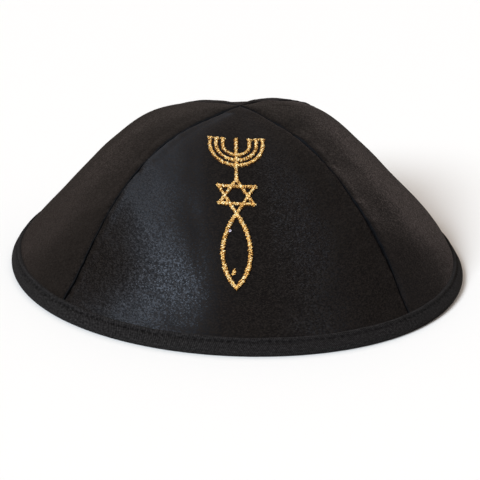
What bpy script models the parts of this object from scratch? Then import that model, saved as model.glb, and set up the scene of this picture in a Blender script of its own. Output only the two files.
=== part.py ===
"""A satin kippah: four sewn gores, a folded band round the rim and a raised embroidered emblem.

Metres, +Z up. The origin is on the surface that the kippah rests on, below the centre of its
rim. The front gore, with the emblem, faces -Y, and the right gore faces +X.
"""

import math
from collections import namedtuple

import bmesh
import bpy
import numpy as np
from mathutils import Vector

# Sizes of the cap
RIM_RADIUS = 0.0875  # outside of the band, near the surface
CROWN_HEIGHT = 0.0605  # the crossing of the seams, above the surface
APEX_LEAN = -0.0013  # how far that crossing lies to the right of the rim's centre
CLOTH_WALL = 0.0015  # satin and its backing
CLOTH_PLAY = 0.0040  # the unit of the stand-off and lift columns
BAND_WALL = 0.0009  # the doubled tape of the band
BAND_WIDTH = 0.0065  # what shows of the band
CLEARANCE = 0.0003  # between pieces that are sewn together
FOOT_FLATTENING = 0.00015  # how far the band is pressed flat where it rests

# Sizes of the embroidery, along the middle of its stitched lines
EMBLEM_MIDDLE = 0.456  # share of the front gore's length at the middle of the emblem
EMBLEM_LEAN = -0.0010  # how far the emblem's top strays to the right of its foot
RELIEF = 0.0008  # the height of the stitched lines
OVERLAY = 0.00004  # how much higher each line lies than the one stitched before it
MENORAH_STROKE = 0.0016
MENORAH_FLARE = 0.0020  # the width of the caps on its arms
MENORAH_STEM = 0.0190
MENORAH_ARM_RISE = 0.0035  # the straight part of each arm, above its half circle
MENORAH_ARM_RADII = (0.0047, 0.0071, 0.0094)
STAR_STROKE = 0.0013
STAR_UPPER_WIDTH = 0.0124  # along its upper bar
STAR_LOWER_WIDTH = 0.0116
STAR_HEIGHT = 0.0131
STAR_UPPER_BAR = 0.0104  # above its foot
STAR_LOWER_BAR = 0.0038
FISH_STROKE = 0.0017
FISH_WIDTH = 0.0093
FISH_LENGTH = 0.0263
FISH_SAG = 0.0011  # how far its widest place lies below its middle
EYE_WIDTH = 0.0016
EYE_LENGTH = 0.0024
EYE_RISE = 0.0054  # above the fish's nose
EYE_ACROSS = -0.0009  # to the right of the emblem's middle

# Facets
FACETS_ACROSS = 16
FACETS_UP = 18
FACETS_PER_LEAF = 3
FACETS_PER_BEND = 3
STITCH_RUN = 0.0022  # between the sections of a stitched line

GORE_NAMES = ("front", "right", "back", "left")
HALF_GORE = math.pi / len(GORE_NAMES)

# One row for each level of the cloth, from the lower edge to the crossing of the seams.
# out and up are shares of the edge's radius and of the crown's height above the edge. The
# other columns say how far the cloth stands off that plain dome, in CLOTH_PLAY: at the middle
# of each gore beyond its seams, and at each seam.
Section = namedtuple(
    "Section",
    "out up front right back left front_right back_right back_left front_left",
)
SECTIONS = [
    Section(1.000, 0.000, 0.00, 0.00, 0.00, 0.00, 0.00, 0.00, 0.00, 0.00),
    Section(0.971, 0.082, -0.10, 0.00, -0.11, 0.00, -0.33, 0.02, 0.00, -0.20),
    Section(0.920, 0.182, -0.20, -0.08, -0.25, -0.10, -0.15, 0.02, 0.00, -0.21),
    Section(0.854, 0.326, -0.34, -0.46, -0.42, -0.42, -0.03, -0.02, -0.08, -0.19),
    Section(0.776, 0.489, -0.40, -0.87, -0.55, -0.69, -0.17, -0.04, -0.20, -0.16),
    Section(0.679, 0.631, -0.34, -0.93, -0.60, -0.60, -0.23, 0.05, -0.25, -0.03),
    Section(0.559, 0.770, -0.10, -0.70, -0.57, -0.19, -0.20, 0.18, -0.26, 0.03),
    Section(0.422, 0.883, 0.20, 0.05, -0.54, 0.28, -0.22, 0.32, -0.28, -0.03),
    Section(0.276, 0.949, 0.35, 0.64, -0.46, 0.38, -0.18, 0.21, -0.32, -0.11),
    Section(0.127, 0.983, 0.25, 0.38, -0.17, 0.23, -0.06, 0.09, -0.20, -0.16),
    Section(0.000, 1.000, 0.00, 0.00, 0.00, 0.00, 0.00, 0.00, 0.00, 0.00),
]

# How far the rim strays outwards from its circle, in CLOTH_PLAY: at the middle of each gore's
# edge and at each seam. It is squeezed in at the seam behind the right gore.
Rim = namedtuple("Rim", "front front_right right back_right back back_left left front_left")
RIM = Rim(0.26, 0.46, -0.32, -1.15, -0.05, 0.02, -0.08, 0.33)

# Soft folds that run up a gore. across is the place of the crest, -1 and 1 at the seams, and
# width is how far it falls off to each side. low and high are the shares of the way up at
# which it starts and ends, lean is how far it strays across on the way, and lift is its
# height in CLOTH_PLAY.
Fold = namedtuple("Fold", "gore across lean width low high lift")
FOLDS = [
    Fold("back", -0.65, 0.00, 0.38, 0.58, 1.00, 0.29),
    Fold("back", 0.65, 0.00, 0.38, 0.58, 1.00, 0.23),
    Fold("front", -0.12, 0.05, 0.30, 0.00, 0.60, 0.14),
    Fold("right", -0.55, 0.10, 0.30, 0.10, 0.80, 0.16),
    Fold("right", 0.22, -0.10, 0.28, 0.00, 0.50, 0.20),
    Fold("left", 0.20, 0.20, 0.40, 0.20, 0.85, 0.12),
]

SATIN = (0.012, 0.012, 0.014)
BINDING = (0.016, 0.016, 0.018)
GOLD = (0.72, 0.44, 0.13)


def slopes_of(values):
    """The slopes of the natural cubic spline through evenly spaced values."""
    count = len(values)
    matrix = np.zeros((count, count))
    right = np.zeros(count)
    matrix[0, :2] = 2, 1
    right[0] = 3 * (values[1] - values[0])
    matrix[-1, -2:] = 1, 2
    right[-1] = 3 * (values[-1] - values[-2])
    for i in range(1, count - 1):
        matrix[i, i - 1 : i + 2] = 1, 4, 1
        right[i] = 3 * (values[i + 1] - values[i - 1])
    return np.linalg.solve(matrix, right)


def eased(start, leave, end, arrive, f):
    """From start to end with the given slopes, at a share f of the way."""
    rise = start * (1 + 2 * f) * (1 - f) ** 2 + end * f * f * (3 - 2 * f)
    return rise + leave * f * (1 - f) ** 2 - arrive * f * f * (1 - f)


class Column:
    """One column of the table, read smoothly at any share of the way up."""

    def __init__(self, name):
        self.values = [getattr(section, name) for section in SECTIONS]
        self.slopes = slopes_of(self.values)

    def at(self, share):
        place = min(max(share, 0.0), 1.0) * (len(self.values) - 1)
        row = min(int(place), len(self.values) - 2)
        start, leave = self.values[row], self.slopes[row]
        end, arrive = self.values[row + 1], self.slopes[row + 1]
        return eased(start, leave, end, arrive, place - row)


COLUMNS = {name: Column(name) for name in Section._fields}
SEAMS = {
    "front": ("front_left", "front_right"),
    "right": ("front_right", "back_right"),
    "back": ("back_right", "back_left"),
    "left": ("back_left", "front_left"),
}


def normal_between(low, high):
    """(out, up) of the outward normal of a run from one (out, up) place to a higher one."""
    out, up = high[0] - low[0], high[1] - low[1]
    length = math.hypot(out, up)
    return up / length, -out / length


# The cloth's lower edge sits in the fold of the band, so the band says where it is.
FOLD_INNER = CLOTH_WALL / 2 + CLEARANCE
FOLD_OUTER = FOLD_INNER + BAND_WALL
FOLD_RADIUS = RIM_RADIUS - FOLD_OUTER
FOLD_HEIGHT = FOLD_OUTER - FOOT_FLATTENING
STEP = 0.002
EDGE_NORMAL = normal_between(
    (RIM_RADIUS, 0),
    (RIM_RADIUS * COLUMNS["out"].at(STEP), CROWN_HEIGHT * COLUMNS["up"].at(STEP)),
)
EDGE_RADIUS = FOLD_RADIUS + EDGE_NORMAL[0] * CLOTH_WALL / 2
EDGE_HEIGHT = FOLD_HEIGHT + EDGE_NORMAL[1] * CLOTH_WALL / 2


def dome(share):
    """(radius, height) of the plain dome at a share of the way up."""
    out = COLUMNS["out"].at(share)
    up = COLUMNS["up"].at(share)
    return EDGE_RADIUS * out, EDGE_HEIGHT + (CROWN_HEIGHT - EDGE_HEIGHT) * up


def dome_normal(share):
    """(out, up) of the plain dome's outward normal."""
    return normal_between(dome(max(share - STEP, 0.0)), dome(min(share + STEP, 1.0)))


def bump(place, middle, half):
    """1 at the middle, and 0 with no slope at half to each side."""
    away = min(abs(place - middle) / half, 1.0)
    return (1 - away * away) ** 2


def stand_off(gore, across, share):
    """How far the cloth stands off the plain dome."""
    before, after = SEAMS[gore]
    seams = COLUMNS[before].at(share) * (1 - across) + COLUMNS[after].at(share) * (1 + across)
    off = seams / 2 + COLUMNS[gore].at(share) * (1 - across * across)
    for fold in FOLDS:
        if fold.gore == gore:
            middle, half = (fold.low + fold.high) / 2, (fold.high - fold.low) / 2
            crest = fold.across + fold.lean * (share - middle) / half
            off += fold.lift * bump(across, crest, fold.width) * bump(share, middle, half)
    return CLOTH_PLAY * off


def rim_stray(gore, across):
    """How far the rim strays outwards from its circle, in a smooth line through RIM."""
    count = len(RIM)
    place = (2 * GORE_NAMES.index(gore) + across) % count
    row = int(place)
    before, start, end, after = (RIM[(row + i) % count] for i in (-1, 0, 1, 2))
    leave, arrive = (end - before) / 2, (after - start) / 2
    return CLOTH_PLAY * eased(start, leave, end, arrive, place - row)


def section_point(gore, across, share, lift=0.0):
    """(radius, height) on a gore's outer face, or lift outside it."""
    radius, height = dome(share)
    normal = dome_normal(share)
    off = stand_off(gore, across, share) + lift
    stray = rim_stray(gore, across) * (1 - share) ** 3
    return radius + stray + normal[0] * off, height + normal[1] * off


def placed(gore, turn, radius, height):
    """A point at an azimuth of turn from the middle of a gore."""
    azimuth = 2 * HALF_GORE * GORE_NAMES.index(gore) + turn
    lean = APEX_LEAN * (height / CROWN_HEIGHT) ** 2
    return Vector((radius * math.sin(azimuth) + lean, -radius * math.cos(azimuth), height))


def cloth_point(gore, across, share, lift=0.0):
    """A point of a gore, which stops half a clearance short of the seam's middle."""
    radius, height = section_point(gore, across, share, lift)
    radius = max(radius, CLEARANCE / 2 / math.sin(HALF_GORE))
    half = HALF_GORE - math.asin(CLEARANCE / 2 / radius)
    return placed(gore, across * half, radius, height)


def material(name, colour, roughness, metallic=0.0, sheen=0.0):
    made = bpy.data.materials.new(name)
    made.use_nodes = True
    shader = made.node_tree.nodes["Principled BSDF"]
    shader.inputs["Base Color"].default_value = (*colour, 1)
    shader.inputs["Roughness"].default_value = roughness
    shader.inputs["Metallic"].default_value = metallic
    shader.inputs["Sheen Weight"].default_value = sheen
    return made


def object_of(name, mesh):
    """An object in the scene from a bmesh, with its normals facing out."""
    bmesh.ops.recalc_face_normals(mesh, faces=mesh.faces)
    data = bpy.data.meshes.new(name)
    mesh.to_mesh(data)
    mesh.free()
    made = bpy.data.objects.new(name, data)
    bpy.context.scene.collection.objects.link(made)
    return made


def finish(made, look):
    """Smooth shading across the gentle edges, and the material."""
    made.data.shade_smooth()
    made.data.set_sharp_from_angle(angle=math.radians(40))
    made.data.materials.append(look)


def gore_mesh(gore):
    """A closed curved triangle of cloth, from the band's fold up to a point at the apex."""
    mesh = bmesh.new()
    faces = []
    for lift in (0.0, -CLOTH_WALL):
        rows = [
            [
                mesh.verts.new(cloth_point(gore, 2 * i / FACETS_ACROSS - 1, up / FACETS_UP, lift))
                for i in range(FACETS_ACROSS + 1)
            ]
            for up in range(FACETS_UP)
        ]
        rows.append([mesh.verts.new(cloth_point(gore, 0, 1, lift))] * (FACETS_ACROSS + 1))
        faces.append(rows)
    outer, inner = faces
    for rows in faces:
        for low, high in zip(rows, rows[1:]):
            for i in range(FACETS_ACROSS):
                corners = (low[i], low[i + 1], high[i + 1], high[i])
                mesh.faces.new(dict.fromkeys(corners))
    for i in range(FACETS_ACROSS):
        mesh.faces.new((outer[0][i], outer[0][i + 1], inner[0][i + 1], inner[0][i]))
    for side in (0, -1):
        for level in range(FACETS_UP):
            low, high = level, level + 1
            mesh.faces.new((outer[low][side], outer[high][side], inner[high][side], inner[low][side]))
    return mesh


def length_up(gore, across, lift=0.0, steps=200):
    """Shares of the way up a gore, and the lengths along the cloth to each of them."""
    shares = np.linspace(0, 1, steps + 1)
    places = np.array([section_point(gore, across, share, lift) for share in shares])
    runs = np.linalg.norm(np.diff(places, axis=0), axis=1)
    return shares, np.concatenate([[0], np.cumsum(runs)])


def band_section(gore, across):
    """The closed outline of the band round the cloth's edge, as (radius, height) places.

    It runs down the outside of the outer leaf, round under the edge, up the inner leaf, and
    back the same way along the faces next to the cloth.
    """
    shares, lengths = length_up(gore, across)
    top = float(np.interp(BAND_WIDTH - FOLD_OUTER, lengths, shares))
    up_leaf = [top * (i + 1) / FACETS_PER_LEAF for i in range(FACETS_PER_LEAF)]
    out_angle = math.atan2(EDGE_NORMAL[1], EDGE_NORMAL[0])
    foot_angle = math.acos(FOLD_HEIGHT / FOLD_OUTER)
    down = -math.pi / 2
    middle = FOLD_RADIUS + rim_stray(gore, across)

    def leaf(lift):
        return [section_point(gore, across, share, lift) for share in up_leaf]

    def bend(radius, start, end):
        return [
            (
                middle + radius * math.cos(start + (end - start) * i / FACETS_PER_BEND),
                FOLD_HEIGHT + radius * math.sin(start + (end - start) * i / FACETS_PER_BEND),
            )
            for i in range(FACETS_PER_BEND + 1)
        ]

    next_to_cloth, away = CLEARANCE, CLEARANCE + BAND_WALL
    outside = leaf(away)[::-1]
    outside += bend(FOLD_OUTER, out_angle, down + foot_angle)
    outside += bend(FOLD_OUTER, down - foot_angle, out_angle - math.pi)
    outside += leaf(-CLOTH_WALL - away)
    inside = leaf(-CLOTH_WALL - next_to_cloth)[::-1]
    inside += bend(FOLD_INNER, out_angle - math.pi, down)
    inside += bend(FOLD_INNER, down, out_angle)[1:]
    inside += leaf(next_to_cloth)
    return outside + inside


def band_mesh():
    """The tape folded over the lower edge of all four gores, in one ring."""
    mesh = bmesh.new()
    rings = [
        [
            mesh.verts.new(placed(gore, across * HALF_GORE, *place))
            for place in band_section(gore, across)
        ]
        for gore in GORE_NAMES
        for across in (2 * i / FACETS_ACROSS - 1 for i in range(FACETS_ACROSS))
    ]
    for ring, after in zip(rings, rings[1:] + rings[:1]):
        for i in range(len(ring)):
            j = (i + 1) % len(ring)
            mesh.faces.new((ring[i], ring[j], after[j], after[i]))
    return mesh


def along(corners, closed):
    """Points at most STITCH_RUN apart along straight runs between corners."""
    ends = corners[1:] + corners[:1] if closed else corners[1:]
    points = []
    for start, end in zip(corners, ends):
        count = math.ceil((end - start).length / STITCH_RUN)
        points += [start.lerp(end, i / count) for i in range(count)]
    return points if closed else points + [corners[-1]]


def stitched_line(order, points, width, closed=False, end_width=None):
    """A raised line of stitches on a flat cloth, with a rounded top and mitred corners."""
    mesh = bmesh.new()
    foot = order * OVERLAY
    count = len(points)
    rings = []
    for i, point in enumerate(points):
        before = points[i - 1] if i or closed else point
        after = points[(i + 1) % count] if i < count - 1 or closed else point
        arriving, leaving = (point - before).normalized(), (after - point).normalized()
        heading = (arriving + leaving).normalized()
        side = Vector((heading.y, -heading.x))
        bend = max(heading.dot(leaving if i < count - 1 or closed else arriving), 0.3)
        here = end_width if end_width and i in (0, count - 1) else width
        half = here / 2 / bend
        section = ((-half, 0), (-0.72 * half, 0.8), (0, 1), (0.72 * half, 0.8), (half, 0))
        rings.append(
            [mesh.verts.new((*(point + side * across), foot + RELIEF * up)) for across, up in section]
        )
    for i, ring in enumerate(rings if closed else rings[:-1]):
        after = rings[(i + 1) % count]
        for j in range(len(ring)):
            k = (j + 1) % len(ring)
            mesh.faces.new((ring[j], ring[k], after[k], after[j]))
    if not closed:
        mesh.faces.new(rings[0])
        mesh.faces.new(rings[-1])
    return mesh


def united(meshes):
    """One flat figure of overlapping stitched lines."""
    base, *others = [object_of(f"line_{i}", mesh) for i, mesh in enumerate(meshes)]
    for other in others:
        joint = base.modifiers.new("join", "BOOLEAN")
        joint.operation = "UNION"
        joint.solver = "EXACT"
        joint.object = other
    graph = bpy.context.evaluated_depsgraph_get()
    mesh = bmesh.new()
    mesh.from_mesh(base.evaluated_get(graph).to_mesh())
    for used in (base, *others):
        bpy.data.objects.remove(used)
    return mesh


# The emblem on flat cloth: x to the right, y up, and 0 at the fish's nose. The fish's tail
# crosses in the foot of the star, and the menorah's stem ends in the star's top.
STAR_FOOT = FISH_LENGTH
STAR_TOP = STAR_FOOT + STAR_HEIGHT
STEM_TOP = STAR_TOP + MENORAH_STEM


def menorah_lines():
    """A stem, and three pairs of arms whose tops are level with it."""
    stem = along([Vector((0, STAR_TOP - STAR_STROKE)), Vector((0, STEM_TOP))], closed=False)
    lines = [stitched_line(0, stem, MENORAH_STROKE, end_width=MENORAH_FLARE)]
    cap = STEM_TOP - MENORAH_STROKE
    centre = STEM_TOP - MENORAH_ARM_RISE
    for order, radius in enumerate(MENORAH_ARM_RADII, start=1):
        count = math.ceil(math.pi * radius / STITCH_RUN)
        turns = [math.pi * i / count for i in range(count + 1)]
        arm = [Vector((-radius, STEM_TOP)), Vector((-radius, cap))]
        arm += [Vector((-radius * math.cos(a), centre - radius * math.sin(a))) for a in turns]
        arm += [Vector((radius, cap)), Vector((radius, STEM_TOP))]
        lines.append(stitched_line(order, arm, MENORAH_STROKE, end_width=MENORAH_FLARE))
    return lines


def star_lines():
    """Two crossed triangles."""
    wide, narrow = STAR_UPPER_WIDTH / 2, STAR_LOWER_WIDTH / 2
    upper, lower = STAR_FOOT + STAR_UPPER_BAR, STAR_FOOT + STAR_LOWER_BAR
    upward = [Vector((0, STAR_TOP)), Vector((narrow, lower)), Vector((-narrow, lower))]
    downward = [Vector((0, STAR_FOOT)), Vector((-wide, upper)), Vector((wide, upper))]
    return [
        stitched_line(order, along(corners, closed=True), STAR_STROKE, closed=True)
        for order, corners in ((4, upward), (5, downward))
    ]


def fish_line():
    """Two equal curves, down one side to the nose and up the other to the tail."""
    half_length, half_width = FISH_LENGTH / 2, FISH_WIDTH / 2
    radius = (half_length**2 + half_width**2) / (2 * half_width)
    reach = math.asin(half_length / radius)
    count = math.ceil(2 * reach * radius / STITCH_RUN)
    loop = []
    for side in (-1, 1):
        for i in range(count):
            turn = side * reach * (2 * i / count - 1)
            out = radius * math.cos(turn) - radius + half_width
            sag = FISH_SAG * out / half_width
            loop.append(Vector((side * out, half_length + radius * math.sin(turn) - sag)))
    return stitched_line(6, loop, FISH_STROKE, closed=True)


def eye_mesh():
    """A small upright knot of stitches."""
    mesh = bmesh.new()
    foot, crown = EYE_WIDTH / 2, EYE_WIDTH / 3
    bmesh.ops.create_cone(
        mesh, cap_ends=True, segments=12, radius1=foot, radius2=crown, depth=RELIEF
    )
    bmesh.ops.scale(mesh, verts=mesh.verts, vec=(1, EYE_LENGTH / EYE_WIDTH, 1))
    bmesh.ops.translate(mesh, verts=mesh.verts, vec=(EYE_ACROSS, EYE_RISE, RELIEF / 2))
    return mesh


def laid_on_front(mesh):
    """Bends a flat motif onto the front gore, a clearance above the cloth."""
    shares, lengths = length_up("front", 0)
    foot = EMBLEM_MIDDLE * lengths[-1] - STEM_TOP / 2
    for vert in mesh.verts:
        x, y, height = vert.co
        share = float(np.interp(foot + y, lengths, shares))
        turn = (x + EMBLEM_LEAN * y / STEM_TOP) / section_point("front", 0, share)[0]
        radius, up = section_point("front", turn / HALF_GORE, share, CLEARANCE + height)
        vert.co = placed("front", turn, radius, up)
    return mesh


def main():
    for old in list(bpy.data.objects):
        bpy.data.objects.remove(old)
    satin = material("black_satin", SATIN, 0.45, sheen=0.3)
    for gore in GORE_NAMES:
        finish(object_of(f"panel_{gore}", gore_mesh(gore)), satin)
    finish(object_of("rim_band", band_mesh()), material("black_binding", BINDING, 0.6))
    gold = material("gold_thread", GOLD, 0.35, metallic=0.4)
    emblem = united([*menorah_lines(), *star_lines(), fish_line()])
    finish(object_of("embroidery_emblem", laid_on_front(emblem)), gold)
    finish(object_of("embroidery_fish_eye", laid_on_front(eye_mesh())), gold)


if __name__ == "__main__":
    main()
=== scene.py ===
"""The looks of a satin kippah on a pale floor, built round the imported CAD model.

Lengths are in millimetres until the points are made, and metres after that.
"""

import math
from collections import namedtuple

import bpy
import numpy as np
from mathutils import Matrix, Vector


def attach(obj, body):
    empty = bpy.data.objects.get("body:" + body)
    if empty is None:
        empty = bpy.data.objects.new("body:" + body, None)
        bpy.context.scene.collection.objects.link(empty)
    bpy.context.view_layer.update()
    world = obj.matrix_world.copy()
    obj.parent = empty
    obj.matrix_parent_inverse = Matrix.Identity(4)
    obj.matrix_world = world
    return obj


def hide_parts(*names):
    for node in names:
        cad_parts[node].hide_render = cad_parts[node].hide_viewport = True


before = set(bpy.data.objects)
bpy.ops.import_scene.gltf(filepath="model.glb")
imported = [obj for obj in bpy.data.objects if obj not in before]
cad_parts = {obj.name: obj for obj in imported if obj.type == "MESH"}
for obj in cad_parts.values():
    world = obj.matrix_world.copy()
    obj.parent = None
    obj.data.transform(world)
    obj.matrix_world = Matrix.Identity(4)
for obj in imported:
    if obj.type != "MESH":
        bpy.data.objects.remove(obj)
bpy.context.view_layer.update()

MM = 0.001

# Sizes, as in the CAD source
RIM_RADIUS = 87.5
CROWN_HEIGHT = 60.5
APEX_LEAN = -1.3
CLOTH_WALL = 1.5
CLOTH_PLAY = 4.0
BAND_WALL = 0.9
BAND_WIDTH = 6.5
CLEARANCE = 0.3
FOOT_FLATTENING = 0.15
EMBLEM_MIDDLE = 0.456
EMBLEM_LEAN = -1.0
STEM_LENGTH = 19.0
ARM_RISE = 3.5
ARM_RADII = (4.7, 7.1, 9.4)
STAR_UPPER_WIDTH = 12.4
STAR_LOWER_WIDTH = 11.6
STAR_HEIGHT = 13.1
STAR_UPPER_BAR = 10.4
STAR_LOWER_BAR = 3.8
FISH_WIDTH = 9.3
FISH_LENGTH = 26.3
FISH_SAG = 1.1

GORES = ("front", "right", "back", "left")
HALF_GORE = math.pi / len(GORES)

Section = namedtuple(
    "Section",
    "out up front right back left front_right back_right back_left front_left",
)
SECTIONS = [
    Section(1.000, 0.000, 0.00, 0.00, 0.00, 0.00, 0.00, 0.00, 0.00, 0.00),
    Section(0.971, 0.082, -0.10, 0.00, -0.11, 0.00, -0.33, 0.02, 0.00, -0.20),
    Section(0.920, 0.182, -0.20, -0.08, -0.25, -0.10, -0.15, 0.02, 0.00, -0.21),
    Section(0.854, 0.326, -0.34, -0.46, -0.42, -0.42, -0.03, -0.02, -0.08, -0.19),
    Section(0.776, 0.489, -0.40, -0.87, -0.55, -0.69, -0.17, -0.04, -0.20, -0.16),
    Section(0.679, 0.631, -0.34, -0.93, -0.60, -0.60, -0.23, 0.05, -0.25, -0.03),
    Section(0.559, 0.770, -0.10, -0.70, -0.57, -0.19, -0.20, 0.18, -0.26, 0.03),
    Section(0.422, 0.883, 0.20, 0.05, -0.54, 0.28, -0.22, 0.32, -0.28, -0.03),
    Section(0.276, 0.949, 0.35, 0.64, -0.46, 0.38, -0.18, 0.21, -0.32, -0.11),
    Section(0.127, 0.983, 0.25, 0.38, -0.17, 0.23, -0.06, 0.09, -0.20, -0.16),
    Section(0.000, 1.000, 0.00, 0.00, 0.00, 0.00, 0.00, 0.00, 0.00, 0.00),
]
RIM = (0.26, 0.46, -0.32, -1.15, -0.05, 0.02, -0.08, 0.33)
SEAMS = {
    "front": ("front_left", "front_right"),
    "right": ("front_right", "back_right"),
    "back": ("back_right", "back_left"),
    "left": ("back_left", "front_left"),
}
Fold = namedtuple("Fold", "gore across lean width low high lift")
FOLDS = [
    Fold("back", -0.65, 0.00, 0.38, 0.58, 1.00, 0.29),
    Fold("back", 0.65, 0.00, 0.38, 0.58, 1.00, 0.23),
    Fold("front", -0.12, 0.05, 0.30, 0.00, 0.60, 0.14),
    Fold("right", -0.55, 0.10, 0.30, 0.10, 0.80, 0.16),
    Fold("right", 0.22, -0.10, 0.28, 0.00, 0.50, 0.20),
    Fold("left", 0.20, 0.20, 0.40, 0.20, 0.85, 0.12),
]

# The gores' grids and seams
ROWS_UP = 150
COLUMNS_ACROSS = 84
EDGE_STEPS = (0.0, 0.05, 0.13, 0.24, 0.4, 0.62, 0.95, 1.4, 2.1, 3.1, 4.4)  # in from a seam
EDGE_LIMIT = 0.6  # the most of half a gore's width that they may take up
SEAM_GAP = (0.50, 0.03)  # between two gores, at their outer and inner faces
SEAM_ROLL = (0.35, 0.70)  # radius of a seam's rolled edges, at the band and at the crown
SEAM_ROLL_GROWS = (30, 105)  # lengths up a gore between which that radius grows
SEAM_ROLL_LIMIT = 0.55  # the most that it may be, as a share of half a gore's width
SEAM_SWELL = 0.16  # height of the swell beside a seam
SEAM_SWELL_AWAY = 2.2  # how far from the seam that swell is highest
SEAM_PAINTED_SHADE = 0.26  # how far the painted shade of a seam's groove reaches on to the cloth
TIP_SINK = 0.3  # how far the gores' tips sink at the crown, as a share of the roll there
OFF_GRAIN = 0.22  # how far the cloth is turned from straight across a gore, in radians

# How the sewn cloth strays from its smooth shape: ripples that run out from a seam, with a seed
# for the left and for the right of a gore, and waves with cells of wide by tall
Ripple = namedtuple("Ripple", "height pitch slant run fade seeds")
TUCKS = Ripple(height=0.18, pitch=1.9, slant=0.22, run=7, fade=3.2, seeds=(2, 1))
PULLS = Ripple(height=0.26, pitch=7, slant=1 / 16, run=22, fade=12, seeds=(4, 3))
Wave = namedtuple("Wave", "height wide tall seed shift", defaults=[(0, 0)])
CLOTH_WAVES = [Wave(0.34, 24, 15, 5, (9, 4)), Wave(0.12, 9, 8, 6)]
GATHERS = Wave(0.09, 2.6, 9, 7)
GATHERS_TOP = 4.5  # length up a gore above which the gathers fade
GATHERS_FADE = 3.0
BAND_HOLDS = (3.6, 7.5)  # lengths up a gore between which the band lets the cloth go
CROWN_HOLDS = (0.5, 7.0)  # half widths of a gore between which its tip lets the cloth go
EMBLEM_HOLDS = 0.9  # how much of its straying the embroidery takes from the cloth
EMBLEM_HOLD_SIDE = (11.0, 17.0)  # distances from its middle line between which it lets go
EMBLEM_HOLD_FOOT = (-6, 0)  # heights over its foot between which it takes hold
EMBLEM_HOLD_TOP = (60, 68)  # heights over its foot between which it lets go

# The band
BAND_COLUMNS = 240  # to each gore
BAND_DROPS = (0, 0.03, 0.1, 0.2, 0.32, 0.5, 0.75, 1.0, 1.25, 1.5, 1.75, 2.0, 2.4, 3.2, 4.2)
BAND_FOLD_RINGS = 13
BAND_REACH = 0.2  # the share of the way up the gores that the band keeps within
BAND_STEPS = 60
LINING_DROPS = (1.5, 3.0)  # the lining is the tape's own side that faces the cloth
LINING_FOLD_RINGS = 7
LINING_PLAY = 0.1  # between the lining and the cloth's lower edge
TAPE_REST = 0.02  # between the tape and the cloth
TAPE_LOFT = 0.95
TAPE_LOW_LOFT = 0.20  # how much more it stands off below the stitches
TAPE_LOW = (0.6, 2.6)  # drops between which that loft grows
TAPE_NOSE = 0.42  # radius of the tape's rounded upper edge
TAPE_WAVES = [Wave(0.05, 2.3, 3, 91), Wave(0.06, 6.5, 5, 92)]
TAPE_WAVES_GROW = (0.1, 1.2)  # drops between which the waves grow
TAPE_CALM = 0.6  # how much flatter they are below the stitches
TAPE_EDGE_WAVE = Wave(0.10, 5.0, 1, 93)
FOLD_WAY = 4.6  # the way over the tape to its fold
INNER_WAY = 0.4  # the way from ring to ring up the inner leaf
INNER_LAG = 1.1  # how far the stitches inside are out of step with those outside
TOPSTITCH_PITCH = 2.3
TOPSTITCH_DROP = 1.5  # below the band's upper edge
TOPSTITCHES = round(2 * math.pi * RIM_RADIUS / TOPSTITCH_PITCH)
TOPSTITCH_GROOVE = 0.20  # depth of the groove that the stitches pull into the tape
TOPSTITCH_GROOVE_HALF = 0.50
TOPSTITCH_HOLE = 0.20  # how much deeper it is at a stitch's ends
TOPSTITCH_HOLE_SHADE_HALF = 0.45  # how far to each side the painted shade of those holes reaches
TOPSTITCH_RADIUS = 0.19
TOPSTITCH_TIP = 0.06
TOPSTITCH_REACH = 0.40  # from a stitch's middle to its ends, in pitches
TOPSTITCH_ARCH = 0.42  # from a stitch's middle to where its arch would meet the row
TOPSTITCH_LIFT = 0.32
TOPSTITCH_RISE = 0.20

# The embroidery: for each kind of line its width, its width at both ends, and how far it lies
# over the lowest threads
Line = namedtuple("Line", "width first last over")
ARM = Line(1.22, 1.0, 1.4, 0.0)
ARM_CAP = Line(0.75, 0.6, 0.6, 0.12)
STEM = Line(1.25, 1.2, 1.5, 0.22)
STAR_UPWARD = Line(1.10, 0.60, 0.60, 0.05)
STAR_DOWNWARD = Line(1.10, 0.60, 0.60, 0.15)
FISH_LEFT = Line(1.56, 0.8, 1.0, 0.08)
FISH_RIGHT = Line(1.56, 0.8, 1.0, 0.18)
EYE = Line(1.5, 1.2, 1.0, 0.0)
LAYER = 0.02  # between two lines of a kind
ARM_CAP_REACH = 1.0  # to each side of an arm
STEM_ROOT = 1.0  # how far the stem starts below the star's top
STAR_REACH = 0.85  # how far a star's line runs past its corners
FISH_TIP = 0.5  # how far a fish's line runs past its nose
EYE_ENDS = ((-0.95, 4.3), (-0.8, 6.5))
THREAD_PITCH = 0.43
THREAD_RADIUS = 0.205
THREAD_END = 0.72  # its radius at both ends, as a share
THREAD_RINGS = 9
THREAD_SIDES = 6
THREAD_RELIEF = 0.72
THREAD_RELIEF_HALF = 0.55  # half the width from which a line has its full relief
THREAD_SINK = 0.12  # how deep a thread's ends go into the cloth
THREAD_SLANT = 0.55
THREAD_TAPER = 0.8  # the length at a line's ends over which its width changes
STRAY_WIDTH = 0.26  # the most that each thread varies, from here on
STRAY_SLANT = 0.18
STRAY_SHIFT = 0.05
STRAY_RELIEF = 0.06
STRAY_TONE = 0.22
CLUMP_WIDTH = 0.06  # the most that each few threads vary together
CLUMP_TONE = 0.08
LOOP_MIDDLE = (-2.25, 19.8)
LOOP_RADIUS = 0.40
LOOP_FLATNESS = 0.8
LOOP_THREAD = 0.13
LOOP_LIFT = 0.35


# The cloth's surface, as in the CAD source but for arrays


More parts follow.
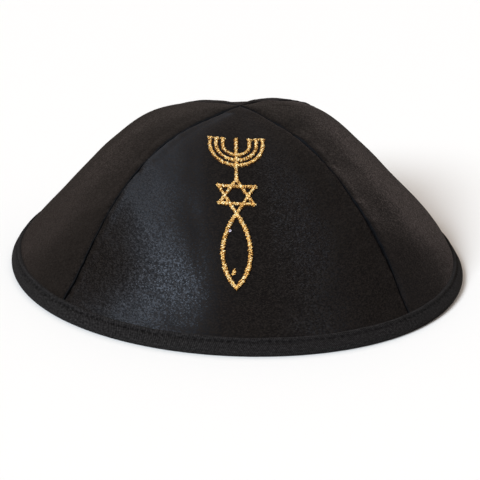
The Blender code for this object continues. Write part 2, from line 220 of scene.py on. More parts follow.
def slopes_of(values):
    count = len(values)
    matrix = np.zeros((count, count))
    right = np.zeros(count)
    matrix[0, :2] = 2, 1
    right[0] = 3 * (values[1] - values[0])
    matrix[-1, -2:] = 1, 2
    right[-1] = 3 * (values[-1] - values[-2])
    for i in range(1, count - 1):
        matrix[i, i - 1 : i + 2] = 1, 4, 1
        right[i] = 3 * (values[i + 1] - values[i - 1])
    return np.linalg.solve(matrix, right)


def eased(start, leave, end, arrive, f):
    rise = start * (1 + 2 * f) * (1 - f) ** 2 + end * f * f * (3 - 2 * f)
    return rise + leave * f * (1 - f) ** 2 - arrive * f * f * (1 - f)


class Column:
    """One column of the table, read smoothly at any shares of the way up."""

    def __init__(self, name):
        self.values = np.array([getattr(section, name) for section in SECTIONS])
        self.slopes = slopes_of(self.values)

    def at(self, share):
        place = np.clip(share, 0.0, 1.0) * (len(self.values) - 1)
        row = np.minimum(place.astype(int), len(self.values) - 2)
        start, leave = self.values[row], self.slopes[row]
        end, arrive = self.values[row + 1], self.slopes[row + 1]
        return eased(start, leave, end, arrive, place - row)


COLUMNS = {name: Column(name) for name in Section._fields}
STEP = 0.002
FOLD_INNER = CLOTH_WALL / 2 + CLEARANCE
FOLD_OUTER = FOLD_INNER + BAND_WALL
FOLD_RADIUS = RIM_RADIUS - FOLD_OUTER
FOLD_HEIGHT = FOLD_OUTER - FOOT_FLATTENING
FIRST_OUT = float(COLUMNS["out"].at(np.array(STEP)))
FIRST_UP = float(COLUMNS["up"].at(np.array(STEP)))
EDGE_RUN = (RIM_RADIUS * (FIRST_OUT - 1), CROWN_HEIGHT * FIRST_UP)
EDGE_NORMAL = (EDGE_RUN[1] / math.hypot(*EDGE_RUN), -EDGE_RUN[0] / math.hypot(*EDGE_RUN))
EDGE_RADIUS = FOLD_RADIUS + EDGE_NORMAL[0] * CLOTH_WALL / 2
EDGE_HEIGHT = FOLD_HEIGHT + EDGE_NORMAL[1] * CLOTH_WALL / 2


def dome(share):
    radius = EDGE_RADIUS * COLUMNS["out"].at(share)
    return radius, EDGE_HEIGHT + (CROWN_HEIGHT - EDGE_HEIGHT) * COLUMNS["up"].at(share)


def dome_normal(share):
    low, high = dome(np.maximum(share - STEP, 0.0)), dome(np.minimum(share + STEP, 1.0))
    out, up = high[0] - low[0], high[1] - low[1]
    length = np.hypot(out, up)
    return up / length, -out / length


def bump(place, middle, half):
    away = np.minimum(np.abs(place - middle) / half, 1.0)
    return (1 - away * away) ** 2


def smooth(value, low, high):
    """0 below low and 1 above high, with a soft rise between."""
    f = np.clip((value - low) / (high - low), 0.0, 1.0)
    return f * f * (3 - 2 * f)


def stand_off(gore, across, share):
    before, after = SEAMS[gore]
    seams = COLUMNS[before].at(share) * (1 - across) + COLUMNS[after].at(share) * (1 + across)
    off = seams / 2 + COLUMNS[gore].at(share) * (1 - across * across)
    for fold in FOLDS:
        if fold.gore == gore:
            middle, half = (fold.low + fold.high) / 2, (fold.high - fold.low) / 2
            crest = fold.across + fold.lean * (share - middle) / half
            off = off + fold.lift * bump(across, crest, fold.width) * bump(share, middle, half)
    return CLOTH_PLAY * off


def rim_stray(gore, across):
    count = len(RIM)
    table = np.array(RIM)
    place = (2 * GORES.index(gore) + across) % count
    row = place.astype(int)
    before, start, end, after = (table[(row + i) % count] for i in (-1, 0, 1, 2))
    return CLOTH_PLAY * eased(start, (end - before) / 2, end, (after - start) / 2, place - row)


def section_point(gore, across, share, lift=0.0):
    """(radius, height) on a gore's outer face, or lift outside it."""
    radius, height = dome(share)
    normal = dome_normal(share)
    off = stand_off(gore, across, share) + lift
    stray = rim_stray(gore, across) * (1 - share) ** 3
    return radius + stray + normal[0] * off, height + normal[1] * off


def placed(gore, turn, radius, height):
    """Points in metres, at an azimuth of turn from the middle of a gore."""
    azimuth = 2 * HALF_GORE * GORES.index(gore) + turn
    lean = APEX_LEAN * (height / CROWN_HEIGHT) ** 2
    x, y = radius * np.sin(azimuth) + lean, -radius * np.cos(azimuth)
    return np.stack(np.broadcast_arrays(x, y, height), axis=-1) * MM


def length_up(gore, across, steps=240, reach=1.0):
    """Shares of the way up a gore, and the lengths along the cloth to each of them."""
    shares = np.linspace(0, reach, steps + 1)
    radius, height = section_point(gore, np.asarray(across, float)[..., None], shares)
    runs = np.hypot(np.diff(radius), np.diff(height))
    start = np.zeros((*runs.shape[:-1], 1))
    return shares, np.concatenate([start, np.cumsum(runs, axis=-1)], axis=-1)


def shares_at(lengths, table):
    """Shares of the way up at some lengths, by length_up's table for as many places across."""
    return np.array([np.interp(at, row, table[0]) for at, row in zip(lengths, table[1])])


FRONT_SHARES, FRONT_LENGTHS = length_up("front", 0)
EMBLEM_HEIGHT = FISH_LENGTH + STAR_HEIGHT + STEM_LENGTH
EMBLEM_FOOT = EMBLEM_MIDDLE * FRONT_LENGTHS[-1] - EMBLEM_HEIGHT / 2


# Building blocks


def noise(x, y, seed):
    """Soft noise between -1 and 1, with one cell to each unit of x and y."""
    size = 64
    table = np.random.default_rng(seed).uniform(-1, 1, (size, size))
    x, y = np.broadcast_arrays(x, y)
    i, j = np.floor(x).astype(int), np.floor(y).astype(int)
    f, g = x - i, y - j
    f, g = f * f * (3 - 2 * f), g * g * (3 - 2 * g)
    low = table[i % size, j % size] * (1 - f) + table[(i + 1) % size, j % size] * f
    high = table[i % size, (j + 1) % size] * (1 - f) + table[(i + 1) % size, (j + 1) % size] * f
    return low * (1 - g) + high * g


def wave(kind, x, y, seed=0):
    cell_x, cell_y = x / kind.wide + kind.shift[0], y / kind.tall + kind.shift[1]
    return kind.height * noise(cell_x, cell_y, seed + kind.seed)


def ripple(kind, x, v, seam, seed):
    along, out = v / kind.pitch + kind.slant * seam, seam / kind.run
    left, right = (noise(along, out, seed + side) for side in kind.seeds)
    return kind.height * np.where(x > 0, right, left) * np.exp(-seam / kind.fade)


def mesh_object(name, points, faces, sharp, **vectors):
    """A smooth shaded object, with vectors at its points for its material to read.

    Edges sharper than sharp, in degrees, stay sharp.
    """
    data = bpy.data.meshes.new(name)
    data.from_pydata(np.asarray(points).tolist(), [], faces)
    for attribute, values in vectors.items():
        layer = data.attributes.new(attribute, "FLOAT_VECTOR", "POINT")
        layer.data.foreach_set("vector", np.asarray(values, np.float32).ravel())
    data.shade_smooth()
    data.set_sharp_from_angle(angle=math.radians(sharp))
    made = bpy.data.objects.new(name, data)
    bpy.context.scene.collection.objects.link(made)
    return made


def strands(paths, normals, radii, sides):
    """Points and faces of closed tubes along paths, an array of (strand, ring, xyz)."""
    count, rings = paths.shape[:2]
    tangent = np.gradient(paths, axis=1)
    tangent /= np.linalg.norm(tangent, axis=2, keepdims=True)
    side = np.cross(tangent, normals)
    side /= np.linalg.norm(side, axis=2, keepdims=True)
    up = np.cross(side, tangent)
    turns = 2 * math.pi * np.arange(sides) / sides
    spokes = (
        side[:, :, None] * np.cos(turns)[None, None, :, None]
        + up[:, :, None] * np.sin(turns)[None, None, :, None]
    )
    points = paths[:, :, None] + spokes * radii[:, :, None, None]
    order = np.arange(count * rings * sides).reshape(count, rings, sides)
    after = np.roll(order, -1, axis=2)
    quads = np.stack([order[:, :-1], order[:, 1:], after[:, 1:], after[:, :-1]], axis=-1)
    faces = quads.reshape(-1, 4).tolist()
    faces += order[:, 0].tolist() + order[:, -1, ::-1].tolist()
    return points.reshape(-1, 3), faces


# The gores

Grid = namedtuple("Grid", "across share x v seam detail")


def emblem_zone(x, v):
    """1 where the embroidery stiffens the front gore, and 0 well away from it."""
    over_foot = v - EMBLEM_FOOT
    beside = 1 - smooth(np.abs(x), *EMBLEM_HOLD_SIDE)
    above = 1 - smooth(over_foot, *EMBLEM_HOLD_TOP)
    return beside * smooth(over_foot, *EMBLEM_HOLD_FOOT) * above


def cloth_detail(gore, x, v, seam, half):
    """How far the sewn cloth stands off its smooth shape, at x across and v up from the edge.

    seam is the distance to the nearer seam and half is half the gore's width there.
    """
    seed = 10 * GORES.index(gore)
    off = ripple(TUCKS, x, v, seam, seed) + ripple(PULLS, x, v, seam, seed)
    off = off + sum(wave(kind, x, v, seed) for kind in CLOTH_WAVES)
    off = off + wave(GATHERS, x, v, seed) * np.exp(-np.maximum(v - GATHERS_TOP, 0) / GATHERS_FADE)
    off = off + SEAM_SWELL * bump(seam, SEAM_SWELL_AWAY, SEAM_SWELL_AWAY)
    if gore == "front":
        off = off * (1 - EMBLEM_HOLDS * emblem_zone(x, v))
    off = off * smooth(v, *BAND_HOLDS) * smooth(half, *CROWN_HOLDS)
    roll = SEAM_ROLL[0] + (SEAM_ROLL[1] - SEAM_ROLL[0]) * smooth(v, *SEAM_ROLL_GROWS)
    roll = np.minimum(roll, SEAM_ROLL_LIMIT * half)
    into = np.clip(1 - seam / np.maximum(roll, 1e-6), 0.0, 1.0)
    return off - roll * (1 - np.sqrt(1 - into * into))


def gore_grid(gore):
    """The shares of a gore's points across and up, and their places on the flat cloth."""
    share = np.linspace(0, 1, ROWS_UP + 1)[:-1, None]
    v = np.interp(share, *length_up(gore, 0))
    half = HALF_GORE * dome(share)[0]
    steps = np.array(EDGE_STEPS)
    edge = 1 - steps * np.minimum(1, EDGE_LIMIT * half / steps[-1]) / half
    inner = edge[:, -1:] * np.linspace(-1, 1, COLUMNS_ACROSS + 1)[None, 1:-1]
    across = np.concatenate([-edge, inner, edge[:, ::-1]], axis=1)
    x, seam = across * half, (1 - np.abs(across)) * half
    detail = cloth_detail(gore, x, v, seam, half)
    share, v = (np.broadcast_to(values, across.shape) for values in (share, v))
    return Grid(across, share, x, v, seam, detail)


def float_directions(points, grid):
    """Which way the satin's floats run: across the gore's flat pattern, a little off the grain."""
    narrowing = np.gradient(HALF_GORE * dome(grid.share[:, 0])[0], grid.v[:, 0])
    lean = OFF_GRAIN + np.arctan(grid.across * narrowing[:, None])
    upward = np.gradient(points, axis=0)
    upward /= np.linalg.norm(upward, axis=2, keepdims=True)
    outward = np.cross(np.gradient(points, axis=1), upward)
    outward /= np.linalg.norm(outward, axis=2, keepdims=True)
    sideways = np.cross(upward, outward)
    return sideways * np.cos(lean)[..., None] + upward * np.sin(lean)[..., None]


def gore_face(gore, grid, depth, gap):
    """Points, places and float directions on one face of a gore, and last at its tip.

    A place is across and up the flat cloth, and how much painted shade the seam's groove puts on
    it.
    """
    lift = grid.detail * (1 - depth / CLOTH_WALL) - depth
    radius, height = section_point(gore, grid.across, grid.share, lift)
    radius = np.maximum(radius, gap)
    turn = grid.across * (HALF_GORE - np.arcsin(gap / 2 / radius))
    points = placed(gore, turn, radius, height)
    floats = float_directions(points, grid)
    outside = 1.0 if depth == 0 else 0.0
    # The seams' darkness is painted shade, for the shadow down in the grooves between the gores.
    seam_painted_shade = outside * np.exp(-grid.seam / SEAM_PAINTED_SHADE)
    places = np.stack([grid.x, grid.v, seam_painted_shade], axis=-1)
    tip_height = section_point(gore, np.zeros(1), np.ones(1), -depth - TIP_SINK * SEAM_ROLL[1])[1]
    tip = placed(gore, np.zeros(1), np.full(1, gap), tip_height)
    return (
        np.concatenate([points.reshape(-1, 3), tip]),
        np.concatenate([places.reshape(-1, 3), [[0, grid.v.max(), outside]]]),
        np.concatenate([floats.reshape(-1, 3), floats[-1:, floats.shape[1] // 2]]),
    )


def gore_walls(rows, columns):
    """The faces of a gore, whose outer and inner points each end with its tip."""
    grid = np.arange(rows * columns).reshape(rows, columns)
    apex = rows * columns
    under = apex + 1
    low, high = grid[:-1], grid[1:]
    outer = np.stack([low[:, :-1], low[:, 1:], high[:, 1:], high[:, :-1]], axis=-1).reshape(-1, 4)
    faces = outer.tolist() + (outer[:, ::-1] + under).tolist()
    top, foot = grid[-1].tolist(), grid[0].tolist()
    for a, b, c, d in zip(top, top[1:], foot, foot[1:]):
        faces.append([a, b, apex])
        faces.append([b + under, a + under, apex + under])
        faces.append([d, c, c + under, d + under])
    for column, flip in ((0, 1), (-1, -1)):
        line = grid[:, column].tolist() + [apex]
        for a, b in zip(line, line[1:]):
            faces.append([a, b, b + under, a + under][::flip])
    return faces


def gore_object(gore):
    grid = gore_grid(gore)
    sides = [gore_face(gore, grid, depth, gap) for depth, gap in zip((0.0, CLOTH_WALL), SEAM_GAP)]
    points, places, floats = (np.concatenate(parts) for parts in zip(*sides))
    faces = gore_walls(*grid.across.shape)
    return mesh_object(f"gore_{gore}", points, faces, 70, place=places, floats=floats)


# The band


def stitch_holes(arc):
    """1 at a stitch's ends and 0 at its middle."""
    return 0.5 + 0.5 * np.cos(2 * math.pi * arc / TOPSTITCH_PITCH)


def leaf_lift(arc, drop):
    """How far the band's leaves stand off the cloth, at a drop below their upper edge."""
    nose = np.sqrt(np.clip(1 - (1 - np.minimum(drop / TAPE_NOSE, 1)) ** 2, 0, 1))
    depth = TOPSTITCH_GROOVE + TOPSTITCH_HOLE * stitch_holes(arc)
    groove = depth * np.exp(-(((drop - TOPSTITCH_DROP) / TOPSTITCH_GROOVE_HALF) ** 2))
    puffed = sum(wave(kind, arc, drop) for kind in TAPE_WAVES)
    low = smooth(drop, *TAPE_LOW)
    loft = TAPE_LOFT + TAPE_LOW_LOFT * low - groove
    loft = loft + puffed * smooth(drop, *TAPE_WAVES_GROW) * (1 - TAPE_CALM * low)
    return TAPE_REST + (loft - TAPE_REST) * nose


def band_section(gore, across, arc):
    """The tape's closed section at places along a gore: radii, heights and ways round it.

    It runs down the outer leaf, round the fold and up the inner leaf, and then back beside the
    cloth.
    """
    table = length_up(gore, across, BAND_STEPS, BAND_REACH)
    top = BAND_WIDTH - FOLD_OUTER + wave(TAPE_EDGE_WAVE, arc, 0 * arc)
    centre = FOLD_RADIUS + rim_stray(gore, across)
    out_angle = math.atan2(EDGE_NORMAL[1], EDGE_NORMAL[0])
    section, ways = [], []

    def leaf(drop, lift, way):
        section.append(section_point(gore, across, shares_at(top - drop, table), lift))
        ways.append(way)

    def bend(size, angle, way):
        height = FOLD_HEIGHT + size * math.sin(angle)
        section.append((centre + size * math.cos(angle), np.full(len(across), height)))
        ways.append(way)

    for drop in BAND_DROPS:
        leaf(drop, leaf_lift(arc, drop), drop)
    for turn in np.linspace(0, math.pi, BAND_FOLD_RINGS):
        bend(FOLD_OUTER, out_angle - turn, FOLD_WAY + turn * FOLD_OUTER)
    for drop in BAND_DROPS[::-1]:
        leaf(drop, -CLOTH_WALL - leaf_lift(arc + INNER_LAG, drop), ways[-1] + INNER_WAY)
    for drop in LINING_DROPS:
        leaf(drop, -CLOTH_WALL - TAPE_REST, ways[-1])
    for turn in np.linspace(0, math.pi, LINING_FOLD_RINGS):
        bend(CLOTH_WALL / 2 + LINING_PLAY, out_angle - math.pi + turn, ways[-1])
    for drop in LINING_DROPS[::-1]:
        leaf(drop, TAPE_REST, ways[-1])
    radius, height = np.array(section).transpose(1, 2, 0)
    return radius, np.maximum(height, 0.0), np.broadcast_to(ways, radius.shape)


def band_object():
    """The tape folded over the cloth's edge, as one closed ring.

    A place is along the tape and across it, and the painted shade near a stitch hole.
    """
    across = 2 * np.arange(BAND_COLUMNS) / BAND_COLUMNS - 1
    rings, places = [], []
    for g, gore in enumerate(GORES):
        arc = (g + (across + 1) / 2) / len(GORES) * TOPSTITCHES * TOPSTITCH_PITCH
        radius, height, way = band_section(gore, across, arc)
        rings.append(placed(gore, (across * HALF_GORE)[:, None], radius, height))
        # Painted shade at the stitch holes, darker the nearer a hole.
        painted_hole_shade = np.exp(-(((way - TOPSTITCH_DROP) / TOPSTITCH_HOLE_SHADE_HALF) ** 2))
        painted_hole_shade = painted_hole_shade * stitch_holes(arc)[:, None]
        places.append(np.stack([np.broadcast_to(arc[:, None], way.shape), way, painted_hole_shade], -1))
    points, places = np.concatenate(rings), np.concatenate(places)
    count, around = points.shape[:2]
    order = np.arange(count * around).reshape(count, around)
    after = np.roll(order, -1, axis=0)
    quads = np.stack([order, np.roll(order, -1, 1), np.roll(after, -1, 1), after], axis=-1)
    faces = quads.reshape(-1, 4).tolist()
    return mesh_object("band_tape", points.reshape(-1, 3), faces, 60, place=places.reshape(-1, 3))


def on_band(turn, lift):
    """Points over the row of topstitches, at azimuths of turn from the front."""
    points = np.zeros((*turn.shape, 3))
    turn = (turn + HALF_GORE) % (2 * math.pi)
    for g, gore in enumerate(GORES):
        here = (turn >= 2 * HALF_GORE * g) & (turn < 2 * HALF_GORE * (g + 1))
        across = (turn[here] - 2 * HALF_GORE * g) / HALF_GORE - 1
        row = np.full(across.shape, BAND_WIDTH - FOLD_OUTER - TOPSTITCH_DROP)
        share = shares_at(row, length_up(gore, across, BAND_STEPS, BAND_REACH))
        radius, height = section_point(gore, across, share, lift[here])
        points[here] = placed(gore, across * HALF_GORE, radius, height)
    return points


def topstitch_object():
    """The row of machine stitches that holds the band."""
    reach = np.linspace(-TOPSTITCH_REACH, TOPSTITCH_REACH, 7)
    turn = 2 * math.pi * (np.arange(TOPSTITCHES)[:, None] + 0.5 + reach) / TOPSTITCHES
    arch = np.sqrt(1 - (reach / TOPSTITCH_ARCH) ** 2)
    lift = np.broadcast_to(TOPSTITCH_LIFT + TOPSTITCH_RISE * arch, turn.shape)
    paths = on_band(turn, lift)
    radii = np.full(turn.shape, TOPSTITCH_RADIUS * MM)
    radii[:, [0, -1]] = TOPSTITCH_TIP * MM
    points, faces = strands(paths, on_band(turn, lift + 1.0) - paths, radii, 6)
    return mesh_object("band_topstitch", points, faces, 60, place=points / MM)


# The embroidery


def on_front(x, y, lift):
    """Flat places of the emblem, in millimetres, laid on the front gore."""
    v = EMBLEM_FOOT + y
    share = np.interp(v, FRONT_LENGTHS, FRONT_SHARES)
    turn = (x + EMBLEM_LEAN * y / EMBLEM_HEIGHT) / section_point("front", 0 * share, share)[0]
    across = turn / HALF_GORE
    half = HALF_GORE * dome(share)[0]
    detail = cloth_detail("front", across * half, v, (1 - np.abs(across)) * half, half)
    radius, height = section_point("front", across, share, lift + detail)
    return placed("front", turn, radius, height)


def resampled(line, pitch):
    """Evenly spaced places along a line, their headings, and the distances to its ends."""
    near = 0.1
    runs = np.linalg.norm(np.diff(line, axis=0), axis=1)
    length = np.concatenate([[0], np.cumsum(runs)])
    count = max(int(length[-1] / pitch), 2)
    at = (np.arange(count) + 0.5) * length[-1] / count
    here, ahead, behind = (
        np.stack([np.interp(at + step, length, line[:, i]) for i in (0, 1)], axis=-1)
        for step in (0.0, near, -near)
    )
    heading = ahead - behind
    heading /= np.linalg.norm(heading, axis=1, keepdims=True)
    return here, heading, at, length[-1] - at


def arc_line(centre, radius, start, end):
    turns = np.linspace(start, end, 48)
    return np.stack([centre[0] + radius * np.cos(turns), centre[1] + radius * np.sin(turns)], -1)


def emblem_lines():
    """(line, kind of line, layer) for each run of satin stitch."""
    star_foot = FISH_LENGTH
    star_top = star_foot + STAR_HEIGHT
    stem_top = star_top + STEM_LENGTH
    lines = []
    for layer, radius in enumerate(ARM_RADII):
        for side in (-1, 1):
            centre = (0, stem_top - ARM_RISE)
            bow = arc_line(centre, radius, -math.pi / 2, 0 if side > 0 else -math.pi)
            lines.append((np.concatenate([bow, [[side * radius, stem_top]]]), ARM, layer))
            cap = [[side * radius + reach, stem_top] for reach in (-ARM_CAP_REACH, ARM_CAP_REACH)]
            lines.append((np.array(cap), ARM_CAP, 0))
    lines.append((np.array([[0, star_top - STEM_ROOT], [0, stem_top]]), STEM, 0))
    upper, lower = star_foot + STAR_UPPER_BAR, star_foot + STAR_LOWER_BAR
    wide, narrow = STAR_UPPER_WIDTH / 2, STAR_LOWER_WIDTH / 2
    upward = np.array([(0, star_top), (narrow, lower), (-narrow, lower)])
    downward = np.array([(0, star_foot), (-wide, upper), (wide, upper)])
    for kind, corners in ((STAR_UPWARD, upward), (STAR_DOWNWARD, downward)):
        for layer, (start, end) in enumerate(zip(corners, np.roll(corners, -1, axis=0))):
            reach = STAR_REACH * (end - start) / np.linalg.norm(end - start)
            lines.append((np.array([start - reach, end + reach]), kind, layer))
    half_length, half_width = FISH_LENGTH / 2, FISH_WIDTH / 2
    radius = (half_length**2 + half_width**2) / (2 * half_width)
    turns = np.linspace(-1, 1, 60) * math.asin(half_length / radius)
    out = radius * np.cos(turns) - radius + half_width
    rise = half_length + radius * np.sin(turns) - FISH_SAG * out / half_width
    for side, kind in ((-1, FISH_LEFT), (1, FISH_RIGHT)):
        bow = np.stack([side * out, rise], -1)
        tip = bow[:1] + FISH_TIP * (bow[:1] - bow[1:2]) / np.linalg.norm(bow[0] - bow[1])
        lines.append((np.concatenate([tip, bow]), kind, 0))
    return lines


def stitched(lines, rng):
    """Paths, outward directions, radii and tones of the threads that cross each line."""
    reach = np.linspace(-1, 1, THREAD_RINGS)
    arch = (1 - np.abs(reach) ** 2.4) ** 0.55
    thickness = THREAD_END + (1 - THREAD_END) * np.sqrt(1 - np.abs(reach) ** 3)
    threads = []
    for line, kind, layer in lines:
        at, heading, from_start, to_end = resampled(line, THREAD_PITCH)
        count = len(at)
        half = np.full(count, kind.width / 2)
        for end, away in ((kind.first / 2, from_start), (kind.last / 2, to_end)):
            half = np.where(away < THREAD_TAPER, end + (half - end) * away / THREAD_TAPER, half)
        clump = np.repeat(rng.uniform(-1, 1, count), rng.integers(1, 4, count))[:count]
        half = half * (1 + CLUMP_WIDTH * clump + rng.uniform(-STRAY_WIDTH, STRAY_WIDTH, count))
        slant = THREAD_SLANT + rng.uniform(-STRAY_SLANT, STRAY_SLANT, count)
        shift = rng.uniform(-STRAY_SHIFT, STRAY_SHIFT, count)
        side = np.stack([heading[:, 1], -heading[:, 0]], axis=-1)
        aside = reach * half[:, None]
        along = reach * (slant * half)[:, None] + shift[:, None]
        flat = at[:, None] + aside[..., None] * side[:, None] + along[..., None] * heading[:, None]
        x, y = flat[..., 0], flat[..., 1]
        tall = THREAD_RELIEF * np.minimum(1, half / THREAD_RELIEF_HALF) + kind.over + LAYER * layer
        tall = tall + rng.uniform(-STRAY_RELIEF, STRAY_RELIEF, count)
        lift = -THREAD_SINK + (tall + THREAD_SINK)[:, None] * arch
        paths = on_front(x, y, lift)
        ups = on_front(x, y, lift + 1.0) - paths
        radii = np.broadcast_to(THREAD_RADIUS * thickness * MM, x.shape)
        tone = 0.5 + CLUMP_TONE * clump + rng.uniform(-STRAY_TONE, STRAY_TONE, count)
        tones = np.broadcast_to(np.clip(tone, 0, 1)[:, None], x.shape)
        threads.append((paths, ups, radii, tones))
    return [np.concatenate(parts) for parts in zip(*threads)]


def thread_object(name, lines, seed):
    """Rows of satin stitch. A place is a thread's tone, and the way along and round it."""
    paths, ups, radii, tones = stitched(lines, np.random.default_rng(seed))
    points, faces = strands(paths, ups, radii, THREAD_SIDES)
    count, rings = paths.shape[:2]
    tone = np.repeat(tones.ravel(), THREAD_SIDES)
    reach = np.tile(np.repeat(np.linspace(-1, 1, rings), THREAD_SIDES), count)
    turn = np.tile(np.arange(THREAD_SIDES) / THREAD_SIDES, count * rings)
    places = np.stack([tone, reach, turn], axis=-1)
    return mesh_object(name, points, faces, 80, place=places)


def loop_object():
    """The loop of under-thread that has come up beside the fish."""
    turns = np.linspace(-0.9, 1.4, 13) * math.pi
    x = LOOP_MIDDLE[0] + LOOP_RADIUS * np.cos(turns)
    y = LOOP_MIDDLE[1] + LOOP_FLATNESS * LOOP_RADIUS * np.sin(turns)
    lift = LOOP_LIFT * (1 + np.cos(turns / 2))
    path = on_front(x, y, lift)[None]
    up = on_front(x, y, lift + 1.0)[None] - path
    points, faces = strands(path, up, np.full((1, len(turns)), LOOP_THREAD * MM), 6)
    return mesh_object("loose_thread_loop", points, faces, 80, place=points / MM)


# Materials


def wire(tree, node, inputs):
    """Sets each input of a node to a value, or links it to another node's output."""
    for key, value in inputs.items():
        if isinstance(value, bpy.types.NodeSocket):
            tree.links.new(value, node.inputs[key])
        else:
            node.inputs[key].default_value = value


def add_node(tree, kind, inputs, **settings):
    made = tree.nodes.new("ShaderNode" + kind)
    for name, value in settings.items():
        setattr(made, name, value)
    wire(tree, made, inputs)
    return made


def attribute(tree, name):
    return add_node(tree, "Attribute", {}, attribute_name=name).outputs["Vector"]


def scaled_place(tree, scale, turn=0.0):
    """The place on the cloth, scaled and turned."""
    inputs = {"Vector": attribute(tree, "place"), "Scale": scale, "Rotation": (0, 0, turn)}
    return add_node(tree, "Mapping", inputs).outputs["Vector"]


def brick_tones(tree, width, height):
    """A tone drawn for each brick of a bond, laid on the cloth as the floats of its weave."""
    inputs = {
        "Vector": attribute(tree, "place"),
        "Scale": 1.0,
        "Brick Width": width,
        "Row Height": height,
        "Mortar Size": 0.0,
        "Color1": (0, 0, 0, 1),
        "Color2": (1, 1, 1, 1),
    }
    return add_node(tree, "TexBrick", inputs).outputs["Color"]


def noise_texture(tree, vector, scale=1.0, detail=2.0, roughness=0.5):
    inputs = {"Vector": vector, "Scale": scale, "Detail": detail, "Roughness": roughness}
    return add_node(tree, "TexNoise", inputs).outputs


def maths(tree, operation, *values):
    return add_node(tree, "Math", dict(enumerate(values)), operation=operation).outputs["Value"]


def vector_maths(tree, operation, *values):
    made = add_node(tree, "VectorMath", dict(enumerate(values)), operation=operation)
    return made.outputs["Vector"]


def remapped(tree, value, low, high, start=0.0, end=1.0):
    """A value between start and end, moved to between low and high."""
    inputs = {"Value": value, "From Min": start, "From Max": end, "To Min": low, "To Max": high}
    return add_node(tree, "MapRange", inputs).outputs["Result"]


def mixed(tree, kind, share, a, b):
    inputs = {"Factor": share, "A": a, "B": b}
    return add_node(tree, "Mix", inputs, data_type=kind).outputs["Result"]


def ramp(tree, source, *stops):
    made = add_node(tree, "ValToRGB", {"Fac": source})
    elements = made.color_ramp.elements
    while len(elements) < len(stops):
        elements.new(0.5)
    for element, (place, colour) in zip(elements, stops):
        element.position = place
        element.color = (*colour, 1)
    return made.outputs["Color"]


def relief(tree, height, strength, distance):
    inputs = {"Height": height, "Strength": strength, "Distance": distance}
    return add_node(tree, "Bump", inputs).outputs["Normal"]


def new_material(name):
    made = bpy.data.materials.new(name)
    made.use_nodes = True
    return made, made.node_tree, made.node_tree.nodes["Principled BSDF"]


def satin_material():
    """Satin with a tone, a tilt and a gloss drawn for each float of its weave, and painted shade
    along its seams.
    """
    made, tree, shader = new_material("black_satin_cloth")
    # The place's third value is painted shade along the seams: it darkens the colour to near black
    # in the grooves, and makes the cloth rough there.
    seams = add_node(tree, "SeparateXYZ", {"Vector": attribute(tree, "place")}).outputs["Z"]
    floats = brick_tones(tree, 0.50, 0.34)
    slubs = noise_texture(tree, scaled_place(tree, (0.9, 2.6, 1)), detail=3.0, roughness=0.7)
    tones = mixed(tree, "RGBA", 0.5, floats, slubs["Color"])
    colour = ramp(
        tree,
        maths(tree, "MULTIPLY_ADD", seams, -0.8, tones),
        (0.0, (0.0004, 0.0003, 0.0002)),
        (0.24, (0.0025, 0.0017, 0.0013)),
        (0.55, (0.0064, 0.0048, 0.0038)),
        (0.90, (0.0140, 0.0109, 0.0090)),
    )
    dull = remapped(tree, seams, 0.50, 1.0, end=0.5)
    uneven = remapped(tree, brick_tones(tree, 0.42, 0.36), -0.16, 0.26)
    run = attribute(tree, "floats")
    tilt = remapped(tree, floats, -0.06, 0.06)
    lean = add_node(tree, "VectorMath", {"Vector": run, "Scale": tilt}, operation="SCALE")
    level = add_node(tree, "NewGeometry", {}).outputs["Normal"]
    tilted = vector_maths(tree, "ADD", level, lean.outputs["Vector"])
    inputs = {
        "Base Color": colour,
        "Roughness": maths(tree, "ADD", dull, uneven),
        "Tangent": run,
        "Normal": vector_maths(tree, "NORMALIZE", tilted),
        "Specular IOR Level": 0.17,
        "Specular Tint": (0.74, 0.84, 1.0, 1),
        "Anisotropic": 0.9,
        "Anisotropic Rotation": 0.25,
        "Sheen Weight": 0.02,
        "Sheen Roughness": 0.45,
        "Sheen Tint": (1.0, 0.76, 0.70, 1),
    }
    wire(tree, shader, inputs)
    return made


def tape_material():
    """Mottled woven tape, with a painted highlight along its folded upper edge and painted shade
    at the stitch holes.
    """
    made, tree, shader = new_material("black_binding_tape")
    ribs = {
        "Vector": scaled_place(tree, (0.62, 0.40, 1), 0.7),
        "Scale": 1.0,
        "Distortion": 1.5,
        "Detail": 2.0,
    }
    weave = add_node(tree, "TexWave", ribs).outputs["Fac"]
    specks = noise_texture(tree, scaled_place(tree, (1.1, 1.5, 1)), detail=3.0, roughness=0.65)
    mottle = mixed(tree, "FLOAT", 0.80, weave, specks["Fac"])
    place = add_node(tree, "SeparateXYZ", {"Vector": attribute(tree, "place")}).outputs
    # A painted highlight along the folded upper edge, where the tape's rounded nose would catch
    # the light.
    fold = remapped(tree, place["Y"], 0.04, 0.0, start=0.25, end=0.85)
    mottle_and_fold_highlight = maths(tree, "ADD", mottle, fold)
    # The place's third value darkens the colour as painted shade at the stitch holes.
    colour = ramp(
        tree,
        maths(tree, "MULTIPLY_ADD", place["Z"], -0.15, mottle_and_fold_highlight),
        (0.32, (0.0022, 0.0020, 0.0020)),
        (0.50, (0.0096, 0.0090, 0.0090)),
        (0.68, (0.0250, 0.0232, 0.0232)),
        (0.90, (0.0520, 0.0485, 0.0485)),
    )
    inputs = {
        "Base Color": colour,
        "Normal": relief(tree, mottle, 0.6, 0.00018),
        "Roughness": 0.75,
        "Specular IOR Level": 0.03,
        "Sheen Weight": 0.02,
        "Sheen Tint": (1.0, 0.95, 0.93, 1),
    }
    wire(tree, shader, inputs)
    return made


def twisted_thread_material(name, scale, dark, light, finish):
    """Thread whose tone varies softly along it."""
    made, tree, shader = new_material(name)
    twist = noise_texture(tree, attribute(tree, "place"), scale)["Fac"]
    colour = ramp(tree, twist, (0.3, dark), (0.7, light))
    wire(tree, shader, {"Base Color": colour, **finish})
    return made


